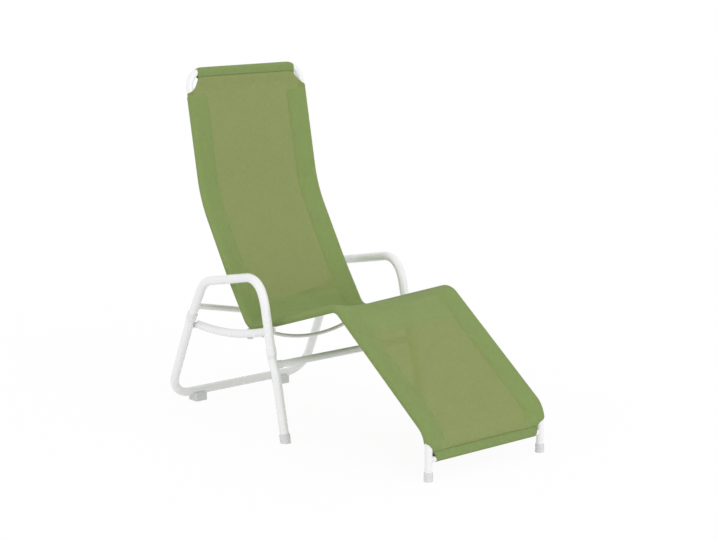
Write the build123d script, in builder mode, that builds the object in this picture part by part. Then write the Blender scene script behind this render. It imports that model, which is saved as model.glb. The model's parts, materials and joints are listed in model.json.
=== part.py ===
from build123d import *
from math import asin, degrees, hypot, radians, sin, tan
import os

# A tilting pool lounger. Millimetres, Z up, X across the lounger and the foot end towards -Y.
# The origin is on the floor, half way across. The sitter faces -Y, so their right side is at -X.
# The base stands still: two armrest hoops, a rear frame, two front legs and two side bars.
# The lying frame, with the stretched cloth, turns on two pins in the side bars.

# Tubes
frame_tube = 32.0
side_bar_tube = 30.0
cross_tube = 25.0
stop_bar_tube = 22.0
rail_tube = 25.0
hem_tube = 20.0
seat_bar_tube = 13.0
tube_wall = 1.5
weld_gap = 0.05

# Spacings across the lounger. The side bars tuck in behind the legs, and the rails run inside them.
side_x = 320.0
side_bar_tuck = 3.0
rail_side_gap = 8.0

# Armrest hoops, as centre lines seen from the side: y to the back and z up
rear_joint_y = 522.9
rear_joint_z = 362.0
armrest_rear_y = 444.5
armrest_rear_z = 501.6
armrest_front_y = 131.0
armrest_front_z = 562.0
hoop_front_y = 91.0
hoop_front_z = 484.0
front_joint_y = 52.6
front_joint_z = 297.0
armrest_rear_bend = 90.0
armrest_front_bend = 80.0
hoop_front_bend = 190.0

# Rear frame and its stop bar
rear_kink_length = 25.0
rear_kink_reach = 6.56
floor_bar_y = 673.0
block_under = 19.0
floor_bend = 90.0
stop_bar_up = 47.0
stop_bar_low_y = 537.0
stop_bar_low_z = 332.0
stop_bar_bend = 400.0

# Front legs and their crossbar
joggle_start = 22.0
joggle_back = 17.2
joggle_drop = 37.4
joggle_bend = 60.0
leg_foot_y = -18.5
front_bar_down = 13.9

# Side bars, from their tabs on the legs
rear_tab_down = 18.9
front_tab_up = 86.2
side_bar_rear_gap = 24.0
side_bar_rear_rise = 2.9
side_bar_front_gap = 31.1
side_bar_front_drop = 9.3
side_bar_sag = 20.5

# Lying frame, seen from the side
pivot_y = 193.0
rail_pin_gap = 2.5
knee_y = -224.3
knee_z = 500.0
splice_y = 91.0
seat_y = 249.0
lumbar_y = 356.0
lumbar_z = 509.0
shoulder_y = 520.3
shoulder_z = 785.6
top_y = 606.3
top_z = 1238.0
foot_y = -676.0
foot_turn_z = 153.5
foot_end_height = 5.0
hem_height = 71.0
seat_bend = 55.0
lumbar_reach = 25.2
shoulder_reach = 79.1
top_bend = 60.0
knee_bend = 60.0
foot_bend = 80.0
seat_bar_behind = 21.0
seat_bar_sag = 63.8

# Tube joints of the base
spigot_fit = 0.2
spigot_length = 45.0
spigot_ring = 3.0
collar_length = 28.0
collar_wall = 3.0
collar_gap = 0.1
collar_edge = 1.2
flare_wall = 1.8
flare_length = 24.0
flare_cone = 8.0
joint_ring_length = 12.0
joint_ring_inset = 0.6
bar_sleeve_length = 18.0
bar_sleeve_wall = 2.2
bar_sleeve_start = 1.0

# Side bar end brackets
plug_length = 20.0
plug_fit = 0.2
flange_length = 3.0
tongue_height = 22.0
tongue_thickness = 4.0
tongue_gap = 0.2
tongue_over = 16.0
tab_screw_shank = 5.0
tab_screw_length = 14.0
tab_screw_head = 11.0
tab_screw_head_height = 3.0
screw_clearance = 0.2

# Feet
leg_cap_wall = 3.0
leg_cap_height = 31.0
cap_gap = 0.1
cap_floor = 4.0
cap_edge = 2.0
foot_cap_wall = 2.7
foot_cap_height = 30.0
block_inset = 122.0
block_width = 50.0
block_ahead = 32.0
block_behind = 18.0
block_drop = 4.0
block_edge = 4.0
block_screw_shank = 4.0
block_screw_head = 8.0
block_screw_head_height = 2.5
block_screw_past = 4.5
block_screw_depth = 6.0

# Pivots
pin_diameter = 10.0
pin_running_gap = 0.05
pin_hole_gap = 1.0
pin_past_bar = 8.0
pin_root_inset = 7.5
pin_bore_end = 1.0
pin_washer_border = 4.0
pin_washer_thickness = 1.6
pin_washer_gap = 0.3
bearing_ahead = 24.0
bearing_behind = 40.0
bearing_fit = 0.2
lock_screw_behind = 21.5
lock_screw_shank = 6.0
lock_screw_head = 10.0
lock_screw_head_height = 5.0
lock_pad_border = 7.0
lock_pad_height = 4.0
lock_pad_recess = 1.0
bracket_ahead = 15.0
bracket_behind = 14.0
bracket_past_rail = 0.6
bracket_below = 15.5
bracket_seat = 5.7
bracket_edge = 3.0
bracket_screw_ahead = 9.5
bracket_screw_shank = 4.0
bracket_screw_head = 7.5
bracket_screw_head_height = 2.6
bracket_screw_tip = 10.0

# Lying frame joints
splice_length = 90.0
splice_fit = 0.15
rivet_shank = 4.8
rivet_head = 9.0
rivet_head_height = 1.8
rivet_reach = 20.0
rivet_length = 9.0

# Cloth
cloth_thickness = 1.5
cloth_gap = 0.3
pocket_width = 57.5
pocket_tip = 6.0
top_hem_inset = 35.5
top_hem_down = 23.0
top_cut_down = 2.8
top_cut_radius = 78.0
top_cut_past_rail = 40.1
foot_hem_inset = 41.5
foot_cut_down = 3.0
foot_cut_radius = 56.0
foot_cut_past_rail = 16.0
cut_room = 60.0
notch_room = 2.0

# Places that follow from these sizes
side_bar_x = side_x - frame_tube / 2 - side_bar_tube / 2 + side_bar_tuck
rail_x = side_bar_x - side_bar_tube / 2 - rail_side_gap - rail_tube / 2
floor_bar_z = block_under + frame_tube / 2
cut_depth = 2 * cut_room
armrest_points = [(rear_joint_y, rear_joint_z), (armrest_rear_y, armrest_rear_z),
                  (armrest_front_y, armrest_front_z), (hoop_front_y, hoop_front_z),
                  (front_joint_y, front_joint_z)]
armrest_bends = [armrest_rear_bend, armrest_front_bend, hoop_front_bend]


def on_side(x, points):
    """Points of a side plane, with x across the lounger."""
    return [(x, y, z) for y, z in points]


def at_side(point):
    """The side view place, as (y, z), of a point in the lounger."""
    return point.Y, point.Z


def unit(first, second):
    """The unit vector from one point to the next."""
    return (Vector(*second) - Vector(*first)).normalized()


def radius_at(before, corner, after, reach):
    """The radius of a bend that starts at that distance before its corner, as in a side view."""
    turn = unit((0, *before), (0, *corner)).get_angle(unit((0, *corner), (0, *after)))
    return reach / tan(radians(turn / 2))


def bends(points, radii):
    """Draws straight runs through the points, with a tangent arc at each inner point."""
    start = Vector(*points[0])
    for corner, following, radius in zip(points[1:-1], points[2:], radii):
        corner, following = Vector(*corner), Vector(*following)
        backwards, onwards = (start - corner).normalized(), (following - corner).normalized()
        half_angle = radians(backwards.get_angle(onwards) / 2)
        reach = radius / tan(half_angle)
        inwards = (backwards + onwards).normalized()
        middle = corner + inwards * (radius / sin(half_angle) - radius)
        first, last = corner + backwards * reach, corner + onwards * reach
        Line(start, first)
        ThreePointArc(first, middle, last)
        start = last
    Line(start, Vector(*points[-1]))


def bar(points, radii, diameter, wall=0):
    """A round bar along bent runs, hollow when a wall is given."""
    with BuildPart() as made:
        with BuildLine() as centre:
            bends(points, radii)
        with BuildSketch(Plane(centre.line @ 0, z_dir=centre.line % 0)):
            Circle(diameter / 2)
            if wall:
                Circle(diameter / 2 - wall, mode=Mode.SUBTRACT)
        sweep()
    return made.part


def rod(start, direction, length, diameter):
    """A plain round rod from a start point along a direction."""
    with BuildPart() as made:
        with BuildSketch(Plane(Vector(*start), z_dir=direction)):
            Circle(diameter / 2)
        extrude(amount=length)
    return made.part


def cone(start, direction, length, first, last):
    """A round rod that changes from its first diameter to its last."""
    with BuildPart() as made:
        with BuildSketch(Plane(Vector(*start), z_dir=direction)):
            Circle(first / 2)
        with BuildSketch(Plane(Vector(*start) + direction * length, z_dir=direction)):
            Circle(last / 2)
        loft()
    return made.part


def block(first, last):
    """A box between two opposite corners."""
    low, high = Vector(*first), Vector(*last)
    size = high - low
    with BuildPart() as made:
        with Locations((low + high) * 0.5):
            Box(abs(size.X), abs(size.Y), abs(size.Z))
    return made.part


def other_side(part):
    """The same piece on the other side of the lounger."""
    with BuildPart() as made:
        mirror(part, about=Plane.YZ)
    return made.part


# Armrest hoops. Each has a flared mouth at its front end, over the front leg's joint.
armrest_path = on_side(-side_x, armrest_points)
rear_up = unit(armrest_path[0], armrest_path[1])
front_up = unit(armrest_path[-1], armrest_path[-2])
rear_joint, front_joint = Vector(*armrest_path[0]), Vector(*armrest_path[-1])
tube_bore = frame_tube - 2 * tube_wall
front_tab_point = front_joint + front_up * front_tab_up
inwards = Vector(1, 0, 0)

with BuildPart() as armrest_hoop_right:
    add(bar(armrest_path, armrest_bends, frame_tube, tube_wall))
    flare_tube = frame_tube + 2 * flare_wall
    add(rod(front_joint, front_up, flare_length, flare_tube))
    add(cone(front_joint + front_up * flare_length, front_up, flare_cone, flare_tube, frame_tube))
    add(rod(front_joint, front_up, flare_length + flare_cone, tube_bore), mode=Mode.SUBTRACT)
    add(rod(front_tab_point, inwards, frame_tube, tab_screw_shank + screw_clearance),
        mode=Mode.SUBTRACT)
with BuildPart() as armrest_hoop_left:
    add(other_side(armrest_hoop_right.part))

# Rear frame: both rear legs and the bar along the floor are one bent tube.
spigot_tube = tube_bore - 2 * spigot_fit
spigot_bore = spigot_tube - 2 * tube_wall
rear_start, rear_kink = rear_joint - rear_up * weld_gap, rear_joint - rear_up * rear_kink_length
floor_bar_point = (floor_bar_y, floor_bar_z)
floor_points = [at_side(rear_start), at_side(rear_kink), floor_bar_point]
floor_path = on_side(-side_x, floor_points) + on_side(side_x, floor_points[::-1])
rear_kink_bend = radius_at(*floor_points, rear_kink_reach)
floor_bends = [rear_kink_bend, floor_bend, floor_bend, rear_kink_bend]
rear_tab_point = rear_kink + unit(rear_kink, (-side_x, *floor_bar_point)) * rear_tab_down
block_x = side_x - block_inset
with BuildPart() as rear_spigot:
    add(rod(rear_joint - rear_up * spigot_ring, rear_up, spigot_ring + spigot_length, spigot_tube))
    add(rod(rear_joint - rear_up * spigot_ring, rear_up, spigot_ring + spigot_length, spigot_bore),
        mode=Mode.SUBTRACT)
    add(rod(rear_joint - rear_up * spigot_ring, rear_up, spigot_ring, frame_tube - tube_wall))
    add(rod(rear_joint - rear_up * spigot_ring, rear_up, spigot_ring, spigot_bore),
        mode=Mode.SUBTRACT)
with BuildPart() as rear_frame:
    add(bar(floor_path, floor_bends, frame_tube, tube_wall))
    add(rear_spigot.part)
    add(other_side(rear_spigot.part))
    for side in (-1, 1):
        add(rod((side * side_x, rear_tab_point.Y, rear_tab_point.Z), inwards * -side, frame_tube,
                tab_screw_shank + screw_clearance), mode=Mode.SUBTRACT)
        add(rod((side * block_x, floor_bar_y, 0), Vector(0, 0, 1), floor_bar_z,
                block_screw_shank + screw_clearance), mode=Mode.SUBTRACT)

# Front legs, each with a small joggle under its joint
joggle_top = front_joint - front_up * joggle_start
leg_path = [tuple(front_joint - front_up * joint_ring_length), tuple(joggle_top)]
joggle_low = joggle_top - Vector(0, joggle_back, joggle_drop)
leg_path += on_side(-side_x, [at_side(joggle_low), (leg_foot_y, 0)])
front_leg_bends = [joggle_bend, joggle_bend]
leg_down = unit(leg_path[-2], leg_path[-1])
leg_end = Vector(*leg_path[-1]) - leg_down * foot_end_height
front_bar_end = tuple(joggle_top + unit(leg_path[1], leg_path[2]) * front_bar_down)
with BuildPart() as front_leg_right:
    add(bar(leg_path[:-1] + [tuple(leg_end)], front_leg_bends, frame_tube, tube_wall))
    add(rod(Vector(*leg_path[0]) - front_up * spigot_ring, front_up,
            spigot_ring + joint_ring_length + spigot_length, spigot_tube))
    add(rod(Vector(*leg_path[0]) - front_up * spigot_ring, front_up, spigot_ring,
            frame_tube - tube_wall))
    add(rod(Vector(*leg_path[0]) - front_up * spigot_ring, front_up,
            spigot_ring + joint_ring_length + spigot_length, spigot_bore), mode=Mode.SUBTRACT)
with BuildPart() as front_leg_left:
    add(other_side(front_leg_right.part))

# Collars and rings at the tube joints
with BuildPart() as rear_collar_right:
    collar_start = rear_joint - rear_up * (collar_length / 2)
    add(rod(collar_start, rear_up, collar_length, frame_tube + 2 * collar_wall))
    chamfer(edges().filter_by(GeomType.CIRCLE), collar_edge)
    add(rod(collar_start, rear_up, collar_length, frame_tube + 2 * collar_gap), mode=Mode.SUBTRACT)
with BuildPart() as rear_collar_left:
    add(other_side(rear_collar_right.part))

with BuildPart() as front_joint_ring_right:
    ring_start = Vector(*leg_path[0]) + front_up * collar_gap
    ring_length = joint_ring_length - 2 * collar_gap
    add(rod(ring_start, front_up, ring_length, frame_tube - 2 * joint_ring_inset))
    add(rod(ring_start, front_up, ring_length, spigot_tube + 2 * collar_gap), mode=Mode.SUBTRACT)
with BuildPart() as front_joint_ring_left:
    add(other_side(front_joint_ring_right.part))

# Front crossbar with a short sleeve against each leg
leg_solid = bar(leg_path, front_leg_bends, frame_tube + 2 * weld_gap)
with BuildPart() as front_crossbar:
    add(rod(front_bar_end, inwards, 2 * side_x, cross_tube))
    add(rod(front_bar_end, inwards, 2 * side_x, cross_tube - 2 * tube_wall), mode=Mode.SUBTRACT)
    add(leg_solid, mode=Mode.SUBTRACT)
    add(other_side(leg_solid), mode=Mode.SUBTRACT)
with BuildPart() as crossbar_sleeve_right:
    sleeve_start = Vector(*front_bar_end) + inwards * (frame_tube / 2 - bar_sleeve_wall)
    sleeve_length = bar_sleeve_length + bar_sleeve_start
    add(rod(sleeve_start, inwards, sleeve_length, cross_tube + 2 * bar_sleeve_wall))
    add(rod(sleeve_start, inwards, sleeve_length, cross_tube + 2 * collar_gap), mode=Mode.SUBTRACT)
    add(leg_solid, mode=Mode.SUBTRACT)
with BuildPart() as crossbar_sleeve_left:
    add(other_side(crossbar_sleeve_right.part))

# Rear stop bar: bowed down in the middle, between the rear legs. The lying frame leans on it.
stop_bar_end = rear_joint + rear_up * stop_bar_up
stop_path = [tuple(stop_bar_end), (0, stop_bar_low_y, stop_bar_low_z), (side_x, *at_side(stop_bar_end))]
hoop_solid = bar(armrest_path, armrest_bends, frame_tube + 2 * weld_gap)
with BuildPart() as rear_stop_bar:
    add(bar(stop_path, [stop_bar_bend], stop_bar_tube, tube_wall))
    add(hoop_solid, mode=Mode.SUBTRACT)
    add(other_side(hoop_solid), mode=Mode.SUBTRACT)

# Side bars: shallow arcs between the legs, just inside them
side_bar_rear = Vector(-side_bar_x, rear_tab_point.Y - side_bar_rear_gap,
                       rear_tab_point.Z + side_bar_rear_rise)
side_bar_front = Vector(-side_bar_x, front_tab_point.Y + side_bar_front_gap,
                        front_tab_point.Z - side_bar_front_drop)
side_bar_middle = (side_bar_rear + side_bar_front) * 0.5 - Vector(0, 0, side_bar_sag)
side_bar_path = [side_bar_rear, side_bar_middle, side_bar_front]
with BuildPart() as side_bar_arc_maker:
    with BuildLine() as side_bar_line:
        ThreePointArc(*side_bar_path)
    with BuildSketch(Plane(side_bar_line.line @ 0, z_dir=side_bar_line.line % 0)):
        Circle(side_bar_tube / 2)
        Circle(side_bar_tube / 2 - tube_wall, mode=Mode.SUBTRACT)
    sweep()
side_bar_curve = side_bar_line.edges()[0]
arc_centre = side_bar_curve.arc_center
arc_radius = side_bar_curve.radius


def on_arc(y):
    """The side bar's centre at one place, and its upward direction there."""
    up = (arc_centre - Vector(-side_bar_x, y, 0))
    height = arc_centre.Z - (arc_radius ** 2 - up.Y ** 2) ** 0.5
    point = Vector(-side_bar_x, y, height)
    return point, (arc_centre - point).normalized()


pivot_z = on_arc(pivot_y)[0].Z
pin_end_x = side_bar_x + pin_past_bar
pivot_axis_start = Vector(-pin_end_x, pivot_y, pivot_z)
lock_point, lock_up = on_arc(pivot_y + lock_screw_behind)
lock_reach = side_bar_tube / 2 + lock_pad_height
with BuildPart() as side_bar_right:
    add(side_bar_arc_maker.part)
    add(rod((-side_bar_x, pivot_y, pivot_z), inwards, side_bar_tube, pin_diameter + 2 * pin_hole_gap),
        mode=Mode.SUBTRACT)
    add(rod(lock_point - lock_up * side_bar_tube, lock_up, 2 * side_bar_tube,
            lock_screw_shank + screw_clearance), mode=Mode.SUBTRACT)
with BuildPart() as side_bar_left:
    add(other_side(side_bar_right.part))


def end_bracket(end, outwards, tab_point):
    """A plug in a side bar's end, with a tongue that runs onto the leg's inner face."""
    outer_face = -side_x + frame_tube / 2 + tongue_gap
    over = unit((0, end.Y, end.Z), (0, tab_point.Y, tab_point.Z))
    distance = hypot(tab_point.Y - end.Y, tab_point.Z - end.Z)
    with BuildPart() as made:
        add(rod(end - outwards * plug_length, outwards, plug_length + plug_fit,
                side_bar_tube - 2 * tube_wall - 2 * plug_fit))
        add(rod(end + outwards * plug_fit, outwards, flange_length, side_bar_tube))
        tongue_plane = Plane(Vector(outer_face, end.Y, end.Z), x_dir=over, z_dir=inwards)
        with BuildSketch(tongue_plane):
            with Locations((0, 0)):
                Rectangle(distance + tongue_over, tongue_height, align=(Align.MIN, Align.CENTER))
        extrude(amount=tongue_thickness)
        fillet(edges().filter_by(Axis.X).sort_by(Axis.Y)[:2 if outwards.Y < 0 else 0]
               or edges().filter_by(Axis.X).sort_by(Axis.Y)[-2:], bracket_edge)
        add(rod((outer_face, tab_point.Y, tab_point.Z), inwards, tongue_thickness,
                tab_screw_shank + screw_clearance), mode=Mode.SUBTRACT)
        add(side_bar_arc_maker.part, mode=Mode.SUBTRACT)
    return made.part


rear_outwards = unit(side_bar_curve @ 0.02, side_bar_curve @ 0)
front_outwards = unit(side_bar_curve @ 0.98, side_bar_curve @ 1)
with BuildPart() as rear_bracket_right:
    add(end_bracket(side_bar_path[0], rear_outwards, rear_tab_point))
with BuildPart() as rear_bracket_left:
    add(other_side(rear_bracket_right.part))
with BuildPart() as front_bracket_right:
    add(end_bracket(side_bar_path[-1], front_outwards, front_tab_point))
with BuildPart() as front_bracket_left:
    add(other_side(front_bracket_right.part))

with BuildPart() as tab_screws:
    tab_face = -side_x + frame_tube / 2 + tongue_gap + tongue_thickness
    for tab_point in (rear_tab_point, front_tab_point):
        face_point = Vector(tab_face, tab_point.Y, tab_point.Z)
        add(rod(face_point, inwards * -1, tab_screw_length, tab_screw_shank))
        add(rod(face_point, inwards, tab_screw_head_height, tab_screw_head))
    mirror(about=Plane.YZ)

# Pivot bearings in the side bars, each held by an upright screw and a pad below
with BuildPart() as pivot_bearing_right:
    with BuildLine() as bearing_line:
        ThreePointArc(on_arc(pivot_y - bearing_ahead)[0], on_arc(pivot_y)[0],
                      on_arc(pivot_y + bearing_behind)[0])
    with BuildSketch(Plane(bearing_line.line @ 0, z_dir=bearing_line.line % 0)):
        Circle(side_bar_tube / 2 - tube_wall - bearing_fit)
    sweep()
    add(rod(pivot_axis_start - inwards * pin_bore_end, inwards, side_bar_tube,
            pin_diameter + 2 * pin_running_gap), mode=Mode.SUBTRACT)
    add(rod(lock_point - lock_up * side_bar_tube, lock_up, 2 * side_bar_tube,
            lock_screw_shank + screw_clearance), mode=Mode.SUBTRACT)
with BuildPart() as pivot_bearing_left:
    add(other_side(pivot_bearing_right.part))

with BuildPart() as side_bar_cutter:
    with BuildLine() as cutter_line:
        ThreePointArc(*side_bar_path)
    with BuildSketch(Plane(cutter_line.line @ 0, z_dir=cutter_line.line % 0)):
        Circle(side_bar_tube / 2 + weld_gap)
    sweep()
with BuildPart() as lock_pad_right:
    add(rod(lock_point - lock_up * lock_reach, lock_up, lock_pad_height + lock_pad_recess,
            lock_screw_shank + 2 * lock_pad_border))
    chamfer(faces().sort_by(Axis.Z)[0].edges(), lock_pad_recess)
    add(side_bar_cutter.part, mode=Mode.SUBTRACT)
    add(rod(lock_point - lock_up * lock_reach, lock_up, lock_reach,
            lock_screw_shank + screw_clearance), mode=Mode.SUBTRACT)
with BuildPart() as lock_pad_left:
    add(other_side(lock_pad_right.part))
with BuildPart() as lock_screws:
    add(rod(lock_point - lock_up * (lock_reach - lock_pad_recess), lock_up,
            lock_reach - lock_pad_recess + side_bar_tube / 2 + lock_screw_head_height,
            lock_screw_shank))
    add(rod(lock_point + lock_up * (side_bar_tube / 2 + weld_gap), lock_up,
            lock_screw_head_height, lock_screw_head))
    mirror(about=Plane.YZ)

# Feet of the base
with BuildPart() as leg_cap_right:
    cap_start = Vector(*leg_path[-1]) - leg_down * leg_cap_height
    add(rod(cap_start, leg_down, leg_cap_height + cap_floor, frame_tube + 2 * leg_cap_wall))
    chamfer(edges().filter_by(GeomType.CIRCLE).sort_by(Axis.Z)[-1], cap_edge)
    split(bisect_by=Plane.XY, keep=Keep.TOP)
    add(bar(leg_path[:-1] + [tuple(leg_end + leg_down * cap_gap)], front_leg_bends,
            frame_tube + 2 * cap_gap), mode=Mode.SUBTRACT)
with BuildPart() as leg_cap_left:
    add(other_side(leg_cap_right.part))

floor_bar_solid = rod((-side_x, *floor_bar_point), inwards, 2 * side_x, frame_tube + 2 * cap_gap)
with BuildPart() as rear_block_right:
    add(block((-block_x - block_width / 2, floor_bar_y - block_ahead, 0),
              (-block_x + block_width / 2, floor_bar_y + block_behind, floor_bar_z - block_drop)))
    fillet(edges().filter_by(Axis.Z), block_edge)
    chamfer(faces().sort_by(Axis.Z)[-1].edges(), cap_edge)
    add(floor_bar_solid, mode=Mode.SUBTRACT)
    screw_start = Vector(-block_x, floor_bar_y, 0)
    add(rod(screw_start, Vector(0, 0, 1), block_screw_depth, block_screw_head + screw_clearance),
        mode=Mode.SUBTRACT)
    add(rod(screw_start, Vector(0, 0, 1), floor_bar_z,
            block_screw_shank + screw_clearance), mode=Mode.SUBTRACT)
with BuildPart() as rear_block_left:
    add(other_side(rear_block_right.part))
with BuildPart() as block_screws:
    screw_head_start = screw_start + Vector(0, 0, block_screw_depth - block_screw_head_height)
    block_screw_length = block_under - screw_head_start.Z + block_screw_past
    add(rod(screw_head_start, Vector(0, 0, 1), block_screw_head_height, block_screw_head))
    add(rod(screw_head_start, Vector(0, 0, 1), block_screw_length, block_screw_shank))
    mirror(about=Plane.YZ)

# Lying frame: the back frame is one bent tube, and a leg rail is spliced on at each side.
pass_point = Vector(-rail_x, pivot_y, pivot_z + rail_tube / 2 + pin_diameter / 2 + rail_pin_gap)
rail_down = unit((-rail_x, knee_y, knee_z), pass_point)


def rail_at(y):
    """The rail's centre at one place between the knee and the seat."""
    return pass_point + rail_down * ((y - pivot_y) / rail_down.Y)


splice_point = at_side(rail_at(splice_y))
back_points = [at_side(rail_at(seat_y)), (lumbar_y, lumbar_z), (shoulder_y, shoulder_z)]
top_point = (top_y, top_z)
lumbar_bend = radius_at(*back_points, lumbar_reach)
shoulder_bend = radius_at(*back_points[1:], top_point, shoulder_reach)
back_bends = [seat_bend, lumbar_bend, shoulder_bend]
foot_points = [(knee_y, knee_z), (foot_y, foot_turn_z)]
foot_bends = [knee_bend, foot_bend]
back_path = on_side(-rail_x, [splice_point] + back_points + [top_point])
back_path += on_side(rail_x, [top_point] + back_points[::-1] + [splice_point])
all_back_bends = back_bends + [top_bend, top_bend] + back_bends[::-1]
splice_on = unit(back_path[1], back_path[0])
splice_at = Vector(*back_path[0])
rivet_up = splice_on.cross(inwards)
rivet_up = rivet_up if rivet_up.Z > 0 else rivet_up * -1
rivet_starts = [splice_at + splice_on * (side * rivet_reach) - rivet_up * (rail_tube / 2)
                for side in (-1, 1)]


def rivet_holes():
    """Cutters for the rivets on the right side."""
    with BuildPart() as made:
        for start in rivet_starts:
            add(rod(start - rivet_up * rivet_head_height, rivet_up, rivet_length,
                    rivet_shank + screw_clearance))
    return made.part


bracket_outer_x = rail_x + rail_tube / 2 + bracket_past_rail
bracket_inner_x = rail_x - rail_tube / 2
bracket_front, bracket_rear = pivot_y - bracket_ahead, pivot_y + bracket_behind
bracket_low, bracket_top = pivot_z - bracket_below, pass_point.Z - bracket_seat
bracket_screw_point = Vector(-rail_x, pivot_y - bracket_screw_ahead, bracket_low)
bracket_screw_rise = bracket_top - bracket_low + bracket_screw_tip
with BuildPart() as back_frame:
    add(bar(back_path, all_back_bends, rail_tube, tube_wall))
    add(rivet_holes(), mode=Mode.SUBTRACT)
    add(other_side(rivet_holes()), mode=Mode.SUBTRACT)
    screw_hole = rod(bracket_screw_point, Vector(0, 0, 1), bracket_screw_rise,
                     bracket_screw_shank + screw_clearance)
    add(screw_hole, mode=Mode.SUBTRACT)
    add(other_side(screw_hole), mode=Mode.SUBTRACT)

leg_rail_path = on_side(-rail_x, [splice_point] + foot_points + [(foot_y, foot_end_height)])
with BuildPart() as leg_rail_right:
    add(bar([tuple(splice_at + splice_on * (2 * weld_gap))] + leg_rail_path[1:], foot_bends,
            rail_tube, tube_wall))
    add(rivet_holes(), mode=Mode.SUBTRACT)
with BuildPart() as leg_rail_left:
    add(other_side(leg_rail_right.part))

with BuildPart() as rail_splice_right:
    add(rod(splice_at - splice_on * (splice_length / 2), splice_on, splice_length,
            rail_tube - 2 * tube_wall - 2 * splice_fit))
    add(rod(splice_at - splice_on * (splice_length / 2), splice_on, splice_length,
            rail_tube - 4 * tube_wall - 2 * splice_fit), mode=Mode.SUBTRACT)
    add(rivet_holes(), mode=Mode.SUBTRACT)
with BuildPart() as rail_splice_left:
    add(other_side(rail_splice_right.part))
with BuildPart() as splice_rivets:
    for start in rivet_starts:
        add(rod(start - rivet_up * (rivet_head_height + weld_gap), rivet_up, rivet_head_height,
                rivet_head))
        add(rod(start - rivet_up * (rivet_head_height + weld_gap), rivet_up,
                rivet_length - rivet_head_height, rivet_shank))
    mirror(about=Plane.YZ)

# Seat crossbar: a thin bowed bar between the rails, under the hollow of the seat
back_solid = bar(back_path, all_back_bends, rail_tube + 2 * weld_gap)
leg_rail_solid = bar(leg_rail_path, foot_bends, rail_tube + 2 * weld_gap)
seat_bar_y, seat_bar_end = at_side(rail_at(pivot_y + seat_bar_behind))
seat_bar_ends = [(side * rail_x, seat_bar_y, seat_bar_end) for side in (-1, 1)]


def seat_bar(diameter):
    """The bowed bar as a solid arc of the given thickness."""
    with BuildPart() as made:
        with BuildLine() as centre:
            ThreePointArc(seat_bar_ends[0], (0, seat_bar_y, seat_bar_end - seat_bar_sag),
                          seat_bar_ends[1])
        with BuildSketch(Plane(centre.line @ 0, z_dir=centre.line % 0)):
            Circle(diameter / 2)
        sweep()
    return made.part


with BuildPart() as seat_crossbar:
    add(seat_bar(seat_bar_tube))
    add(back_solid, mode=Mode.SUBTRACT)

# Hem bar between the two foot tubes
with BuildPart() as foot_hem_bar:
    hem_start = (-rail_x, foot_y, hem_height)
    add(rod(hem_start, inwards, 2 * rail_x, hem_tube))
    add(rod(hem_start, inwards, 2 * rail_x, hem_tube - 2 * tube_wall), mode=Mode.SUBTRACT)
    add(leg_rail_solid, mode=Mode.SUBTRACT)
    add(other_side(leg_rail_solid), mode=Mode.SUBTRACT)

with BuildPart() as foot_cap_right:
    cap_centre = Vector(-rail_x, foot_y, 0)
    add(rod(cap_centre, Vector(0, 0, 1), foot_cap_height, rail_tube + 2 * foot_cap_wall))
    chamfer(faces().sort_by(Axis.Z)[-1].edges(), cap_edge)
    add(rod(cap_centre + Vector(0, 0, foot_end_height - cap_gap), Vector(0, 0, 1), foot_cap_height,
            rail_tube + 2 * cap_gap), mode=Mode.SUBTRACT)
with BuildPart() as foot_cap_left:
    add(other_side(foot_cap_right.part))

# Pivot brackets under the rails, with the pins that turn in the side bars
pin_length = pin_end_x - rail_x + pin_root_inset
with BuildPart() as pivot_bracket_right:
    add(block((-bracket_outer_x, bracket_front, bracket_low),
              (-bracket_inner_x, bracket_rear, bracket_top)))
    fillet(faces().sort_by(Axis.Z)[0].edges().filter_by(Axis.X), bracket_edge)
    add(back_solid, mode=Mode.SUBTRACT)
    add(rod(pivot_axis_start, inwards, pin_length + weld_gap, pin_diameter + 2 * weld_gap),
        mode=Mode.SUBTRACT)
    add(rod(bracket_screw_point, Vector(0, 0, 1), bracket_screw_rise,
            bracket_screw_shank + screw_clearance), mode=Mode.SUBTRACT)
with BuildPart() as pivot_bracket_left:
    add(other_side(pivot_bracket_right.part))
with BuildPart() as pivot_pin_right:
    add(rod(pivot_axis_start, inwards, pin_length, pin_diameter))
    chamfer(faces().sort_by(Axis.X)[0].edges(), collar_edge)
with BuildPart() as pivot_pin_left:
    add(other_side(pivot_pin_right.part))
with BuildPart() as pivot_washers:
    washer_start = Vector(-bracket_outer_x - pin_washer_gap, pivot_y, pivot_z)
    add(rod(washer_start, inwards * -1, pin_washer_thickness, pin_diameter + 2 * pin_washer_border))
    add(rod(washer_start, inwards * -1, pin_washer_thickness, pin_diameter + 2 * collar_gap),
        mode=Mode.SUBTRACT)
    mirror(about=Plane.YZ)
with BuildPart() as bracket_screws:
    head_start = bracket_screw_point - Vector(0, 0, bracket_screw_head_height + weld_gap)
    add(rod(head_start, Vector(0, 0, 1), bracket_screw_head_height, bracket_screw_head))
    add(rod(head_start, Vector(0, 0, 1), bracket_screw_rise, bracket_screw_shank))
    mirror(about=Plane.YZ)

# Sling: one cloth from the top tube to the hem bar, with a pocket around each rail
cloth_points = [top_point] + back_points[::-1] + foot_points + [(foot_y, hem_height)]
cloth_bends = back_bends[::-1] + foot_bends
seam_x = rail_x - pocket_width
top_hem_x, foot_hem_x = rail_x - top_hem_inset, rail_x - foot_hem_inset
top_cut_height, foot_cut_height = top_z - top_cut_down, hem_height - foot_cut_down
top_cut_x, foot_cut_x = rail_x + top_cut_past_rail, rail_x + foot_cut_past_rail
pocket_inner = rail_tube / 2 + cloth_gap
pocket_outer = pocket_inner + cloth_thickness


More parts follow.
